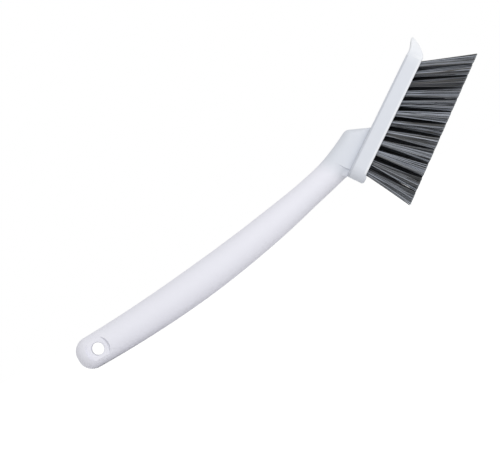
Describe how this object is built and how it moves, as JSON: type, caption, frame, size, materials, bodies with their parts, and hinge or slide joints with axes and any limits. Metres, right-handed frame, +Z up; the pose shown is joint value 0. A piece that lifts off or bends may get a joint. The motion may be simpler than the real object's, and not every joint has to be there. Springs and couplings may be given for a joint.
{
  "type": "hand brush",
  "caption": "Hand brush with a curved round handle, a hanging hole, a straight block with a lifted scraper nose, and staggered grey bristle tufts that fan towards the nose.",
  "frame": {"origin": "centre of the bounding box's base, on the surface that the brush rests on", "axes": "+X from the handle's end towards the nose of the block, +Y across the brush, +Z up; the brush lies on the heel edge of its bristles and on the end of its handle"},
  "size_m": [0.2722, 0.0262, 0.0819],
  "materials": {
    "handle": "satin moulded white plastic",
    "brush_block": "satin moulded white plastic",
    "bristle": "drawn grey nylon filament"
  },
  "bodies": {
    "root": {"handle": "handle", "brush_block": "brush_block", "tuft_left_01": "bristle", "tuft_left_02": "bristle", "tuft_left_03": "bristle", "tuft_left_04": "bristle", "tuft_left_05": "bristle", "tuft_left_06": "bristle", "tuft_left_07": "bristle", "tuft_left_08": "bristle", "tuft_left_09": "bristle", "tuft_left_10": "bristle", "tuft_left_11": "bristle", "tuft_left_12": "bristle", "tuft_middle_01": "bristle", "tuft_middle_02": "bristle", "tuft_middle_03": "bristle", "tuft_middle_04": "bristle", "tuft_middle_05": "bristle", "tuft_middle_06": "bristle", "tuft_middle_07": "bristle", "tuft_middle_08": "bristle", "tuft_middle_09": "bristle", "tuft_middle_10": "bristle", "tuft_middle_11": "bristle", "tuft_right_01": "bristle", "tuft_right_02": "bristle", "tuft_right_03": "bristle", "tuft_right_04": "bristle", "tuft_right_05": "bristle", "tuft_right_06": "bristle", "tuft_right_07": "bristle", "tuft_right_08": "bristle", "tuft_right_09": "bristle", "tuft_right_10": "bristle", "tuft_right_11": "bristle", "tuft_right_12": "bristle"}
  },
  "joints": []
}
